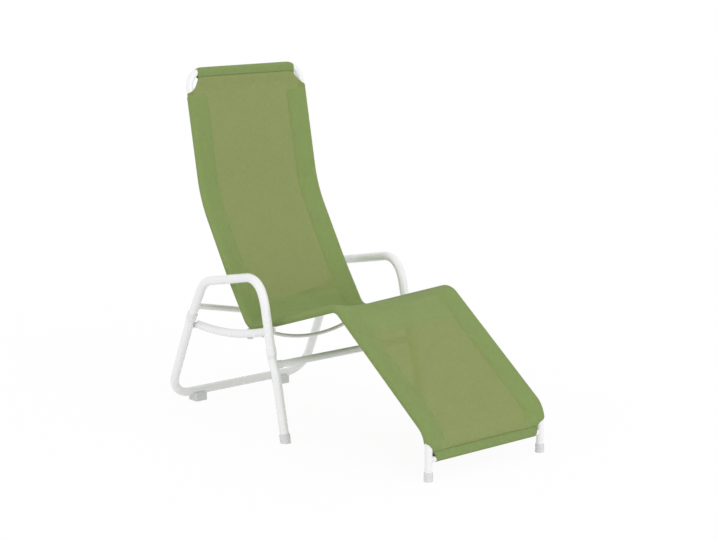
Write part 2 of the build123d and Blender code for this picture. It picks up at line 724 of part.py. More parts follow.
def pocket(circle_radius, tip_radius, tip_x, side):
    """A drop-shaped bar along the cloth's line around one rail, with its tip at the seam."""
    with BuildPart() as made:
        with BuildLine() as centre:
            bends(on_side(0, cloth_points), cloth_bends)
        with BuildSketch(Plane(centre.line @ 0, x_dir=(1, 0, 0), z_dir=centre.line % 0)):
            with Locations((side * rail_x, 0)):
                Circle(circle_radius)
            with Locations((side * tip_x, 0)):
                Circle(tip_radius)
            make_hull()
        sweep()
    return made.part


with BuildPart() as top_hem:
    add(bar(back_path, all_back_bends, 2 * pocket_outer))
    add(block((-top_hem_x, top_y - cut_depth / 2, top_z - top_hem_down),
              (top_hem_x, top_y + cut_depth / 2, top_z + cut_room)),
        mode=Mode.INTERSECT)

with BuildPart() as sling_cloth:
    with BuildLine() as cloth_line:
        bends(on_side(0, cloth_points), cloth_bends)
    with BuildSketch(Plane(cloth_line.line @ 0, x_dir=(1, 0, 0), z_dir=cloth_line.line % 0)):
        Rectangle(2 * seam_x, cloth_thickness)
    sweep()
    for side in (-1, 1):
        add(pocket(pocket_outer, cloth_thickness / 2, seam_x, side))
        add(pocket(pocket_inner, cloth_thickness / 4, seam_x + pocket_tip, side), mode=Mode.SUBTRACT)
    for side in (-1, 1):
        for centre_y, height, radius, cut_x, hem_x, upwards in (
                (top_y, top_cut_height, top_cut_radius, top_cut_x, top_hem_x, 1),
                (foot_y, foot_cut_height, foot_cut_radius, foot_cut_x, foot_hem_x, -1)):
            add(rod((side * cut_x, centre_y - cut_depth / 2, height), Vector(0, 1, 0), cut_depth,
                    2 * radius), mode=Mode.SUBTRACT)
            add(block((side * hem_x, centre_y - cut_depth / 2, height),
                      (side * (cut_x + cut_room), centre_y + cut_depth / 2,
                       height + upwards * cut_room)), mode=Mode.SUBTRACT)
    add(top_hem.part)
    add(bar(back_path, all_back_bends, 2 * pocket_inner), mode=Mode.SUBTRACT)
    hem_inner = hem_tube + 2 * cloth_gap
    foot_hem_start = (-foot_hem_x, foot_y, hem_height)
    add(rod(foot_hem_start, inwards, 2 * foot_hem_x, hem_inner + 2 * cloth_thickness))
    add(rod(hem_start, inwards, 2 * rail_x, hem_inner), mode=Mode.SUBTRACT)
    seat_bar_room = seat_bar(seat_bar_tube + 2 * notch_room)
    add(seat_bar_room, mode=Mode.SUBTRACT)
    for side in (-1, 1):
        add(block((side * (bracket_outer_x + notch_room), bracket_front - notch_room,
                   bracket_low - notch_room),
                  (side * (bracket_inner_x - notch_room), bracket_rear + notch_room,
                   bracket_top + notch_room)), mode=Mode.SUBTRACT)
    for start in rivet_starts:
        for side in (-1, 1):
            head = Vector(side * rail_x, start.Y, start.Z)
            add(rod(head - rivet_up * (rivet_head_height + notch_room), rivet_up,
                    rivet_head_height + notch_room, rivet_head + 2 * notch_room), mode=Mode.SUBTRACT)

nodes = {
    "rear_frame": rear_frame, "armrest_hoop_right": armrest_hoop_right,
    "armrest_hoop_left": armrest_hoop_left, "front_leg_right": front_leg_right,
    "front_leg_left": front_leg_left, "rear_collar_right": rear_collar_right,
    "rear_collar_left": rear_collar_left, "front_joint_ring_right": front_joint_ring_right,
    "front_joint_ring_left": front_joint_ring_left, "front_crossbar": front_crossbar,
    "crossbar_sleeve_right": crossbar_sleeve_right, "crossbar_sleeve_left": crossbar_sleeve_left,
    "rear_stop_bar": rear_stop_bar, "side_bar_right": side_bar_right, "side_bar_left": side_bar_left,
    "rear_bracket_right": rear_bracket_right, "rear_bracket_left": rear_bracket_left,
    "front_bracket_right": front_bracket_right, "front_bracket_left": front_bracket_left,
    "tab_screws": tab_screws, "pivot_bearing_right": pivot_bearing_right,
    "pivot_bearing_left": pivot_bearing_left, "lock_pad_right": lock_pad_right,
    "lock_pad_left": lock_pad_left, "lock_screws": lock_screws, "leg_cap_right": leg_cap_right,
    "leg_cap_left": leg_cap_left, "rear_block_right": rear_block_right,
    "rear_block_left": rear_block_left, "block_screws": block_screws, "back_frame": back_frame,
    "leg_rail_right": leg_rail_right, "leg_rail_left": leg_rail_left,
    "rail_splice_right": rail_splice_right, "rail_splice_left": rail_splice_left,
    "splice_rivets": splice_rivets, "seat_crossbar": seat_crossbar, "foot_hem_bar": foot_hem_bar,
    "foot_cap_right": foot_cap_right, "foot_cap_left": foot_cap_left,
    "pivot_bracket_right": pivot_bracket_right, "pivot_bracket_left": pivot_bracket_left,
    "pivot_pin_right": pivot_pin_right, "pivot_pin_left": pivot_pin_left,
    "pivot_washers": pivot_washers, "bracket_screws": bracket_screws, "sling_cloth": sling_cloth,
}
os.makedirs("parts", exist_ok=True)
for name, node in nodes.items():
    node.part.label = name
    export_step(node.part, f"parts/{name}.step")
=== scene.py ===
# %% [markdown]
# # A tilting pool lounger
# The lounger is a bent white tube base that carries a long lying frame, with a green woven cloth
# stretched over it. The tubes, caps, pins and brackets come from the CAD model and keep their shape.
# This notebook adds the cloth, its hems, its stitching and the weld beads as new meshes, gives every
# surface its finish, and sets up the camera, the floor and the light.

# %% Load the frame
import json
import math

import bmesh
import bpy
import numpy as np
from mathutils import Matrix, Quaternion, Vector


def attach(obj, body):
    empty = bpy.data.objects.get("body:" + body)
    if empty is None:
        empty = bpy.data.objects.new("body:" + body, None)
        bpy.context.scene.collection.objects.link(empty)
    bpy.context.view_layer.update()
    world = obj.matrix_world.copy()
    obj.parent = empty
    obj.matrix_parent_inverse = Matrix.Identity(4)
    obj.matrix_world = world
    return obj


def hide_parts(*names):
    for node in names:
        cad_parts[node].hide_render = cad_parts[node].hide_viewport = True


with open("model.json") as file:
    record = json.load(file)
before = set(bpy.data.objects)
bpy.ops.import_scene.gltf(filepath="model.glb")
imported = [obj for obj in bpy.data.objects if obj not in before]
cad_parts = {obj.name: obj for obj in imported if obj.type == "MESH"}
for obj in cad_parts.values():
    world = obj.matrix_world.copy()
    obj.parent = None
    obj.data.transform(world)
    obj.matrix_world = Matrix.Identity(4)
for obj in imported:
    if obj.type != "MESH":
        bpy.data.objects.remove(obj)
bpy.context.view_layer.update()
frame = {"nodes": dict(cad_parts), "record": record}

# %% [markdown]
# ## The camera
# The photograph was taken from in front of the lounger's right side, a little above the seat, with a
# long lens. Its place was solved from the straight tubes, so it is given as angles round a target.

# %% Camera
camera_azimuth = math.radians(-40.58)
camera_elevation = math.radians(10.65)
camera_roll = math.radians(-0.254)
camera_distance = 6.5343
camera_target = Vector((0.0005, -0.0328, 0.5689))
camera_lens = 93.77

backwards = Vector((math.sin(camera_azimuth) * math.cos(camera_elevation),
                    -math.cos(camera_azimuth) * math.cos(camera_elevation),
                    math.sin(camera_elevation)))
camera = bpy.data.objects.new("camera", bpy.data.cameras.new("camera"))
bpy.context.scene.collection.objects.link(camera)
camera.data.lens = camera_lens
camera.data.sensor_width = 36
camera.location = camera_target + backwards * camera_distance
camera.rotation_mode = "QUATERNION"
level = (-backwards).to_track_quat("-Z", "Y")
camera.rotation_quaternion = level @ Quaternion((0, 0, 1), camera_roll)
bpy.context.scene.camera = camera
print("camera at", camera.location[:])

# %% [markdown]
# ## Writing shader maths as Python
# A finish needs many small sums: a yarn's height, a mask for wear, a mix of two colours. Wired by hand
# these become a maze, so a tiny class wraps a socket and turns + - * ** into Math nodes. Every other
# node comes from one method that takes the node's type, its settings and its inputs.

# %% Shader helpers
class Wire:
    """A number that a shader works out. Arithmetic on it adds Math nodes."""

    def __init__(self, nodes, socket):
        self.nodes, self.socket = nodes, socket

    def maths(self, operation, *others):
        """A Math node of this wire and the others."""
        return self.nodes.node("ShaderNodeMath", {"operation": operation}, [self, *others])

    def __add__(self, other):
        return self.maths("ADD", other)

    def __mul__(self, other):
        return self.maths("MULTIPLY", other)

    def __sub__(self, other):
        return self.maths("SUBTRACT", other)

    def __rsub__(self, other):
        return (self * -1) + other

    def __pow__(self, other):
        return self.maths("POWER", other)

    __radd__, __rmul__ = __add__, __mul__

    def wave(self):
        """The sine of this wire, moved to run from 0 to 1."""
        return self.maths("SINE") * 0.5 + 0.5

    def step(self, low, high):
        """0 below low, 1 above high, and a smooth rise between them."""
        settings = {"interpolation_type": "SMOOTHSTEP", "clamp": True}
        return self.nodes.node("ShaderNodeMapRange", settings, [self, low, high, 0.0, 1.0])


class Nodes:
    """A node tree, the one method that adds nodes to it, and the last node, which the others feed."""

    def __init__(self, tree, last):
        self.tree, self.last = tree, tree.nodes[last]

    def node(self, kind, settings=None, inputs=(), output=0):
        """Adds a node, sets it up, feeds its sockets by place or by name, and returns one output."""
        made = self.tree.nodes.new(kind)
        for key, value in (settings or {}).items():
            setattr(made, key, value)
        pairs = inputs.items() if isinstance(inputs, dict) else enumerate(inputs)
        for key, value in pairs:
            if isinstance(value, Wire):
                self.tree.links.new(value.socket, made.inputs[key])
            elif value is not None:
                made.inputs[key].default_value = value
        return Wire(self, made.outputs[output])

    def feed(self, socket, wire):
        """Links a wire to one socket of the last node."""
        self.tree.links.new(wire.socket, self.last.inputs[socket])


class Finish(Nodes):
    """A material with one shader, and the nodes that several finishes use."""

    def __init__(self, name, **fixed):
        self.material = bpy.data.materials.new(name)
        self.material.use_nodes = True
        super().__init__(self.material.node_tree, "Principled BSDF")
        for socket, value in fixed.items():
            label = socket.replace("_", " ").title().replace("Ior", "IOR")
            self.last.inputs[label].default_value = value

    def place(self):
        """The surface point in the lounger's own frame."""
        return self.node("ShaderNodeTexCoord", output="Object")

    def noise(self, scale, detail=2.0, place=None, stretch=None):
        """Cloudy noise with about scale lumps in a metre, stretched along the axes if asked."""
        place = place or self.place()
        if stretch:
            place = self.node("ShaderNodeMapping", None, {"Vector": place, "Scale": stretch})
        inputs = {"Vector": place, "Scale": scale, "Detail": detail}
        return self.node("ShaderNodeTexNoise", None, inputs)

    def blend(self, amount, first, second, **settings):
        """A mix of two colours, each a wire or a value. The Mix node takes colours at sockets 6 and 7."""
        settings = {"data_type": "RGBA", **settings}
        inputs = {0: amount, 6: first, 7: second}
        return self.node("ShaderNodeMix", settings, inputs, output=2)

    def bump(self, height, depth, after=None):
        """A normal bent by a height, depth metres deep, on top of another bump if one is given."""
        inputs = {"Height": height, "Distance": depth, "Strength": 1.0, "Normal": after}
        return self.node("ShaderNodeBump", None, inputs)


def grey(level):
    """A neutral colour."""
    return (level, level, level, 1.0)


def shaded(colour, factor):
    """A colour made darker or lighter by a factor."""
    return tuple(min(1.0, factor * part) for part in colour[:3]) + (1.0,)


print("shader helpers ready")

# %% [markdown]
# ## The tube finish
# The tubes are steel with a white powder coat. Sprayed powder melts into a hard glossy skin with a
# very fine orange peel, so the finish is a near white base with a shallow bump of 1.5 mm lumps, and its
# gloss drifts a little from place to place.

# %% White powder coat
def powder_coat(name, colour, peel_depth=0.00003):
    """White enamel: soft lumps for the orange peel, and gloss that varies over a hand's width."""
    finish = Finish(name, specular_ior_level=0.9)
    peel = finish.noise(650.0, detail=1.0)
    drift = finish.noise(9.0, detail=3.0)
    dust = finish.noise(60.0, detail=4.0).step(0.52, 0.78)
    finish.feed("Base Color", finish.blend(dust * 0.10, colour, shaded(colour, 0.93)))
    finish.feed("Roughness", drift * 0.10 + dust * 0.06 + 0.20)
    finish.feed("Normal", finish.bump(peel, peel_depth))
    return finish.material


white_tube = powder_coat("white_powder_coat", (0.825, 0.825, 0.83, 1))
white_plastic = powder_coat("white_nylon_ring", (0.77, 0.77, 0.775, 1), peel_depth=0.00001)
print("made", white_tube.name, white_plastic.name)

# %% [markdown]
# ## Moulded plastic
# Caps and blocks are grey plastic from a spark-eroded mould, which leaves a fine matt grain. The sides
# pick up pale scuffs close to the floor, so the grain is a fast noise and the scuffs are a slower noise
# that fades out above the first centimetre. Caps also have shallow rings, for grip.

# %% Grey plastic
def moulded_plastic(name, colour, scuffed=True, ring_pitch=None):
    """Matt moulded plastic: fine grain, scuffs that fade with height above the floor, and grip rings.

    The rings are shallow grooves: with s = the sine of 2 pi z / pitch moved to 0..1, a groove is s ** 6."""
    finish = Finish(name, specular_ior_level=0.4)
    grain = finish.noise(2600.0)
    mottle = finish.noise(45.0, detail=3.0)
    amount = mottle * 0.16
    relief = finish.bump(grain, depth=0.00004)
    height = finish.node("ShaderNodeSeparateXYZ", None, [finish.place()], output=2)
    if ring_pitch:
        groove = (height * (2 * math.pi / ring_pitch)).wave() ** 6
        relief = finish.bump(groove * -1.0, depth=0.0005, after=relief)
        # Each groove is also painted a little darker: painted shade in the grip rings.
        amount = amount - groove * 0.10
    if scuffed:
        near_floor = 1 - height.step(0.001, 0.014)
        scuffs = finish.noise(420.0, detail=4.0).step(0.45, 0.7)
        amount = amount + near_floor * scuffs * 0.5
    finish.feed("Base Color", finish.blend(amount, colour, shaded(colour, 1.45)))
    finish.feed("Roughness", grain * 0.14 + 0.46)
    finish.feed("Normal", relief)
    return finish.material


cap_grey = moulded_plastic("grey_moulded_cap", (0.66, 0.665, 0.67, 1), ring_pitch=0.0075)
block_grey = moulded_plastic("grey_moulded_block", (0.62, 0.625, 0.635, 1))
pale_nylon = moulded_plastic("pale_nylon", (0.62, 0.61, 0.57, 1), scuffed=False)
print("made", cap_grey.name, block_grey.name, pale_nylon.name)

# %% [markdown]
# ## Zinc plated fasteners
# Screws, rivets and pins are plated steel. Plating is bright but not a mirror: it has a cool tint, and
# tumbling in the drum leaves tiny dull spots.

# %% Zinc plated steel
def plated_steel(name, colour):
    """Plated steel: metal with small dull spots and a soft sheen."""
    finish = Finish(name, metallic=1.0)
    spots = finish.noise(1400.0, detail=3.0).step(0.45, 0.75)
    finish.feed("Base Color", finish.blend(spots * 0.5, colour, grey(0.42)))
    finish.feed("Roughness", spots * 0.22 + 0.24)
    finish.feed("Normal", finish.bump(spots, depth=0.00001))
    return finish.material


zinc = plated_steel("zinc_plated_steel", (0.66, 0.67, 0.69, 1))
print("made", zinc.name)

# %% [markdown]
# ## Woven cloth
# The sling is an open weave of coated yarn, near 1.2 mm from yarn to yarn, so its pattern is drawn on the
# cloth's own flat pattern in metres. With c = sin(pi u / p) and d = sin(pi v / p), the product c d is high
# where one set of yarns lies on top and low where the other does, and |c| |d| falls to 0 at the small
# openings, where light comes through: 34 % of it there, and 8 % through the yarns. The single panel is
# yellower than the doubled bands, because less green yarn lies behind each opening. Double cloth lets
# through half as much light, and a hem round its bar the least. A hem is also darker than the doubled
# bands: that is painted shade, as the hems face away from the light. Each point's number of layers is
# stored as 1 for the panel, 2 for the doubled bands and 3 for a hem, and as up to 1.8 in the part of the
# panel that carries painted bounce light.

# %% Green woven cloth
def woven_cloth(name, single, double, shaded_hem, pitch=0.0012):
    """Open weave: yarns over and under, openings, slubs along the yarns, a tone for each lay, and painted
    shade on the hems.
    """
    slub_share, patch_share, weave_share = 0.55, 0.12, 0.18
    through_gap, held_by_yarn, held_by_second, held_by_bar = 0.34, 0.26, 0.5, 0.3
    finish = Finish(name, roughness=0.8, specular_ior_level=0.25, sheen_weight=0.03, sheen_roughness=0.5)
    flat = finish.node("ShaderNodeUVMap", {"uv_map": "flat"})
    across = finish.node("ShaderNodeSeparateXYZ", None, [flat], output=0)
    along_yarn = finish.node("ShaderNodeSeparateXYZ", None, [flat], output=1)
    warp = (across * (math.pi / pitch)).maths("SINE")
    weft = (along_yarn * (math.pi / pitch)).maths("SINE")
    over = warp * weft * 0.5 + 0.5
    covered = (warp.maths("ABSOLUTE") * weft.maths("ABSOLUTE")) ** 0.5
    layers = finish.node("ShaderNodeAttribute", {"attribute_name": "layers"}, output=2)
    doubled = (layers - 1.0).step(0.0, 1.0)
    over_bar = (layers - 2.0).step(0.25, 0.75)
    slub_across = finish.noise(900.0, place=flat, stretch=(0.06, 1.0, 1.0))
    slub_along = finish.noise(900.0, place=flat, stretch=(1.0, 0.06, 1.0))
    patchy = finish.noise(14.0, detail=3.0, place=flat)
    tone = (slub_across + slub_along - 1.0) * slub_share + (patchy - 0.5) * patch_share
    tone = tone + (over - 0.5) * weave_share
    # Hems take the hem colour, which is darkened as painted shade because the hems face away from the
    # light.
    plain = finish.blend(over_bar, finish.blend(doubled, single, double), shaded_hem)
    pale = finish.blend((tone + 0.5).step(0.0, 1.0), grey(0.72), grey(1.22))
    toned = finish.blend(1.0, plain, pale, blend_type="MULTIPLY", clamp_result=False)
    finish.feed("Base Color", toned)
    finish.feed("Roughness", 0.86 - covered * 0.16)
    see_through = through_gap - covered * held_by_yarn
    see_through = see_through * (1 - doubled * held_by_second - over_bar * held_by_bar)
    finish.feed("Alpha", 1 - see_through)
    finish.feed("Normal", finish.bump(over * 0.5 + covered * 0.6 + slub_along * 0.3, depth=0.00025))
    return finish.material


def thread_finish(name, colour):
    """Twisted polyester thread: soft, with a slight change of tone from stitch to stitch."""
    finish = Finish(name, roughness=0.6, specular_ior_level=0.35)
    tone = finish.noise(260.0, detail=1.0)
    finish.feed("Base Color", finish.blend(tone, shaded(colour, 0.7), colour))
    return finish.material


# The third colour, for the hems, is darkened as painted shade.
green_weave = woven_cloth("green_woven_cloth", (0.257, 0.312, 0.088, 1), (0.244, 0.328, 0.106, 1),
                          (0.220, 0.300, 0.100, 1))
green_thread = thread_finish("green_thread", (0.31, 0.39, 0.13, 1))
print("made", green_weave.name, green_thread.name)

# %% [markdown]
# ## Dressing the CAD pieces
# The record says which slot each CAD node takes its finish from, so the same table gives it a material
# here. The nodes keep their own meshes.

# %% Finishes for the CAD nodes
finish_of_slot = {"white_tube": white_tube, "white_plastic": white_plastic, "grey_plastic": cap_grey,
                  "nylon": pale_nylon, "fasteners": zinc}
for part in frame["record"]["subparts"]:
    node = frame["nodes"][part["node"]]
    if part["material_slot"] in finish_of_slot:
        node.data.materials.clear()
        node.data.materials.append(finish_of_slot[part["material_slot"]])
for name in ("rear_block_right", "rear_block_left", "lock_pad_right", "lock_pad_left"):
    frame["nodes"][name].data.materials[0] = block_grey

# %% [markdown]
# ## Surfaces from grids
# Every new piece is a surface with two parameters. numpy works out all the points at once as an array
# of rows and columns, and a helper joins neighbours with four-sided faces. Faces point the way a
# right-handed screw would go when it turns from growing columns to growing rows.

# %% Grid mesh helper
def grid_faces(rows, columns, wrap_rows=False, wrap_columns=False):
    """Quads between neighbouring points of a grid that is stored row by row."""
    index = np.arange(rows * columns).reshape(rows, columns)
    if wrap_rows:
        index = np.vstack([index, index[:1]])
    if wrap_columns:
        index = np.hstack([index, index[:, :1]])
    corners = (index[:-1, :-1], index[:-1, 1:], index[1:, 1:], index[1:, :-1])
    return np.stack([corner.ravel() for corner in corners], axis=1)


def add_mesh(name, points, faces, material, body):
    """Makes a smooth object from arrays of points and faces, and lets it ride on a CAD body."""
    mesh = bpy.data.meshes.new(name)
    mesh.from_pydata(points.reshape(-1, 3).tolist(), [], faces.tolist())
    mesh.polygons.foreach_set("use_smooth", np.full(len(mesh.polygons), True))
    mesh.materials.append(material)
    made = bpy.data.objects.new(name, mesh)
    bpy.context.scene.collection.objects.link(made)
    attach(made, body)
    return made


def edit_mesh(made, work):
    """Opens an object's mesh, lets work, a function, change it, and stores it again."""
    edit = bmesh.new()
    edit.from_mesh(made.data)
    work(edit)
    edit.to_mesh(made.data)
    edit.free()


def give_values(made, name, values):
    """Stores one number for each point of a mesh, for its material to read."""
    attribute = made.data.attributes.new(name, "FLOAT", "POINT")
    attribute.data.foreach_set("value", values.ravel().astype(np.float32))


def give_uv(made, across, along):
    """Stores a flat pattern for each point of a mesh, in metres of cloth."""
    layer = made.data.uv_layers.new(name="flat")
    corner = np.zeros(len(made.data.loops), np.int32)
    made.data.loops.foreach_get("vertex_index", corner)
    flat = np.stack([across.ravel()[corner], along.ravel()[corner]], axis=1)
    layer.data.foreach_set("uv", flat.ravel().astype(np.float32))


print("grid helpers ready")

# %% [markdown]
# ## The line of the lying frame
# Seen from the side, each rail runs down the back, turns at the seat, climbs to the knee and falls to
# the foot. The cloth follows the same line, so it is worked out once: straight runs between corners,
# each corner rounded by an arc that touches both runs. These places repeat the rails' own centre line.

# %% Side profile
rail_x = 0.2565
rail_radius = 0.0125
top_tube = (0.6063, 1.238)
shoulder = (0.5203, 0.7856)
lumbar = (0.356, 0.509)
seat = (0.249, 0.3499)
knee = (-0.2243, 0.5)
foot_turn = (-0.676, 0.1535)
hem_bar = (-0.676, 0.071)
profile_corners = np.array([top_tube, shoulder, lumbar, seat, knee, foot_turn, hem_bar])
profile_bends = [0.4498, 0.8988, 0.055, 0.06, 0.08]


def rounded_line(corners, radii, spacing):
    """Points about a spacing apart along straight runs joined by arcs.

    An arc of radius r between two runs that turn by an angle a starts r * tan(a / 2) before the corner,
    and its centre lies r beside that point, on the inner side."""
    pieces, start = [], corners[0]
    for before, corner, after, radius in zip(corners[:-2], corners[1:-1], corners[2:], radii):
        first = (corner - before) / np.linalg.norm(corner - before)
        last = (after - corner) / np.linalg.norm(after - corner)
        turn = math.atan2(first[0] * last[1] - first[1] * last[0], float(first @ last))
        reach = radius * math.tan(abs(turn) / 2)
        entry = corner - first * reach
        inner = math.copysign(1.0, turn) * np.array([-first[1], first[0]])
        centre = entry + inner * radius
        count = max(2, int(np.linalg.norm(entry - start) / spacing))
        pieces.append(start + np.linspace(0, 1, count, endpoint=False)[:, None] * (entry - start))
        angle = np.linspace(0, turn, max(2, int(radius * abs(turn) / spacing)), endpoint=False)[:, None]
        arm = entry - centre
        across = np.array([-arm[1], arm[0]])
        pieces.append(centre + np.cos(angle) * arm + np.sin(angle) * across)
        start = corner + last * reach
    count = int(np.linalg.norm(corners[-1] - start) / spacing)
    pieces.append(start + np.linspace(0, 1, count)[:, None] * (corners[-1] - start))
    return np.vstack(pieces)


step = 0.0005
line = rounded_line(profile_corners, profile_bends, step)
line_length = np.concatenate([[0], np.cumsum(np.linalg.norm(np.diff(line, axis=0), axis=1))])
along = np.arange(0, line_length[-1], step)
profile = np.stack([np.interp(along, line_length, line[:, axis]) for axis in (0, 1)], axis=1)
profile_way = np.gradient(profile, step, axis=0)
profile_way /= np.linalg.norm(profile_way, axis=1)[:, None]
profile_up = np.stack([profile_way[:, 1], -profile_way[:, 0]], axis=1)


def on_profile(length, across, height):
    """Points at a length along the profile, a distance across, and a height above the rails' line."""
    length, across, height = np.broadcast_arrays(length, across, height)
    place = [np.interp(length, along, profile[:, axis]) for axis in (0, 1)]
    up = [np.interp(length, along, profile_up[:, axis]) for axis in (0, 1)]
    return np.stack([across, place[0] + up[0] * height, place[1] + up[1] * height], axis=-1)


print("profile length", round(along[-1], 4), "m, and its start faces", profile_up[0])

# %% [markdown]
# ## How the cloth lies
# The cloth is one long piece. Its middle is stretched flat between two seams that run 63 mm inside the
# rails. Outside the seams it is double: one layer goes over the rail and round it, and comes back
# underneath. A section across one side is a drop: a straight layer from the seam to the rail's sleeve,
# an arc round the rail, and a straight layer back to the seam. The hems at both ends are drops too.

# %% Drop-shaped loops
def drop_start(reach, lift, radius):
    """The length and the slope of the straight layer that runs from a seam to a sleeve.

    The seam lies reach before the bar's centre and lift above it. The layer touches a circle of the
    sleeve's radius, so its length is sqrt(d * d - r * r), where d is the seam's distance."""
    distance = np.hypot(reach, lift)
    return np.sqrt(distance ** 2 - radius ** 2), np.arcsin(radius / distance) - np.arctan2(lift, reach)


def drop_place(length, reach, lift, radius):
    """How far out and how high a layer lies, from the bar's centre, at a length from the seam."""
    straight, slope = drop_start(reach, lift, radius)
    touch_out, touch_up = -radius * np.sin(slope), radius * np.cos(slope)
    share = np.clip(length / straight, 0, 1)
    angle = np.clip(length - straight, 0, None) / radius - slope
    bent = length > straight
    out = np.where(bent, radius * np.sin(angle), -reach + (touch_out + reach) * share)
    up = np.where(bent, radius * np.cos(angle), lift + (touch_up - lift) * share)
    return out, up


def drop_length(out, reach, lift, radius):
    """The length from the seam to the place of the upper layer at a distance out."""
    straight, slope = drop_start(reach, lift, radius)
    touch_out = -radius * np.sin(slope)
    flat = straight * (out + reach) / (touch_out + reach)
    turned = straight + radius * (slope + np.arcsin(np.clip(out / radius, -1, 1)))
    return np.where(out < touch_out, flat, turned)


cloth_thickness = 0.0011
sleeve_radius = 0.0137
outer_side = rail_x + sleeve_radius
seam_x = 0.193
seam_reach = rail_x - seam_x
layer_lift = 0.0006
side_drop = (seam_reach, layer_lift, sleeve_radius)
layer_length = float(drop_length(sleeve_radius, *side_drop))
print("one layer, from its seam to the outside of the rail:", round(layer_length, 4), "m")

# %% [markdown]
# ## How the free panel settles
# Between the seams nothing holds the cloth, and a stretched sheet can't keep a sharp bend far from its
# supports: it bridges the hollow of the seat and flattens over the knee. With a pull Ts along the
# lounger and Tx across it, the height h above the rails' line obeys Tx h_xx + Ts (h_ss + k) = 0, where k
# is the rails' curvature. Each half wave n across answers with k smeared over a length
# L = sqrt(Ts / Tx) 2w / (n pi), and the heights add up as (4 / n pi) cos(n pi x / 2w). The smearing
# kernel is L / 2 exp(-|s| / L), cut off at 8 L.

# %% Panel heights
pull_ratio = 0.05
kernel_ends = 8
panel_modes = []
heading = np.unwrap(np.arctan2(profile_way[:, 1], profile_way[:, 0]))
curvature = -np.gradient(heading, step)
for count in (1, 3, 5, 7):
    reach = math.sqrt(pull_ratio) * 2 * seam_x / (count * math.pi)
    kernel_at = np.arange(-kernel_ends * reach, kernel_ends * reach + step, step)
    kernel = reach / 2 * np.exp(-np.abs(kernel_at) / reach) * step
    answer = np.convolve(curvature, kernel, mode="same")
    panel_modes.append((count, (-1) ** (count // 2) * 4 / (count * math.pi) * answer))


def panel_height(length, across):
    """The height of the free panel above the rails' line, and 0 outside the seams."""
    length, across = np.broadcast_arrays(length, across)
    height = np.zeros(length.shape)
    for count, answer in panel_modes:
        wave = np.cos(count * math.pi * np.clip(across / (2 * seam_x), -0.5, 0.5))
        height = height + np.interp(length, along, answer) * wave
    return height


middle = panel_height(along, 0.0)
print("the panel leaves the rails' line by", round(middle.min(), 4), "to", round(middle.max(), 4), "m")

# %% [markdown]
# ## Rows of the cloth
# Rows are 8 mm apart, closer where the line bends, and along the four cut-outs they follow equal angles
# of the cutting circle, so that the cut edge is smooth. The cut-outs leave the bent corner of the top
# tube and the foot tubes bare. A cut-out names the points of the profile that it reaches. Both ends of
# the panel stop at a tip, where a hem's seam is, and go on for a short tongue inside the hem.

# %% Row places and cut-outs
top_cut = {"across": 0.2966, "height": 1.2352, "radius": 0.078, "side": -1, "points": slice(0, 400)}
foot_cut = {"across": 0.3370, "height": 0.0344, "radius": 0.114, "side": 1, "points": slice(-700, None)}
cut_angles = np.radians(np.arange(0, 90, 3))
top_cut_before, foot_cut_after = 0.5, 1.5
row_spacing, bend_spacing, full_bend = 0.008, 0.007, 16
row_margin, tiny = 0.001, 1e-6
top_tip, foot_tip_height, tongue = 0.0215, 0.0955, 0.003
top_seam_front, foot_seam_front = 0.008, 0.004
top_front_fade, foot_front_fade = 0.055, 0.045
tube_bend_start, tube_bend_radius = 0.1965, 0.06


def length_at(height, points):
    """The length along the profile at a height, among points where the profile falls steadily."""
    return np.interp(-height, -profile[points, 1], along[points])


foot_tip = float(length_at(foot_tip_height, foot_cut["points"]))


def top_fall(across):
    """How far the top tube's centre has come down at a distance across."""
    past = np.clip(np.abs(across) - tube_bend_start, 0, tube_bend_radius)
    return tube_bend_radius - np.sqrt(tube_bend_radius ** 2 - past ** 2)


def eased(share):
    """A share from 0 to 1, with a smooth start and a smooth end."""
    return share ** 2 * (3 - 2 * share)


def seam_front(lengths):
    """How far in front of the rails' line the panel lies near its ends, where its hem seams are."""
    near_top = np.clip(1 - (lengths - top_tip) / top_front_fade, 0, 1)
    near_foot = np.clip(1 - (foot_tip - lengths) / foot_front_fade, 0, 1)
    return top_seam_front * eased(near_top) + foot_seam_front * eased(near_foot)


def cut_rows(cut):
    """Lengths along the profile where the cutting circle is crossed at equal angles."""
    lengths = length_at(cut["height"] + cut["side"] * cut["radius"] * np.cos(cut_angles), cut["points"])
    return lengths[(lengths > top_tip + row_margin) & (lengths < foot_tip - row_margin)]


top_rows = np.sort(cut_rows(top_cut))
foot_rows = np.sort(cut_rows(foot_cut))
density = 1 / row_spacing + np.clip(np.abs(curvature) / full_bend, 0, 1) / bend_spacing
counted = np.cumsum(density) * step
first, last = np.interp([top_rows[-1], foot_rows[0]], along, counted)
between = np.interp(np.linspace(first, last, int(last - first) + 2)[1:-1], counted, along)
rows = np.concatenate([[top_tip - tongue, top_tip], top_rows, between, foot_rows,
                       [foot_tip, foot_tip + tongue]])


def cloth_limit(lengths):
    """How far across the cloth reaches at a length along the profile, or the rail's outer side."""
    height = np.interp(lengths, along, profile[:, 1])
    limit = np.full(len(lengths), outer_side)
    for cut, near in ((top_cut, lengths < top_cut_before), (foot_cut, lengths > foot_cut_after)):
        room = cut["radius"] ** 2 - (height - cut["height"]) ** 2
        edge = cut["across"] - np.sqrt(np.clip(room, 0, None))
        limit = np.where(near & (room > 0), np.minimum(limit, edge), limit)
    return limit


limit = cloth_limit(rows)
uncut = np.flatnonzero(limit > outer_side - tiny)
print(len(rows), "rows, of which", len(rows) - len(uncut), "are cut")
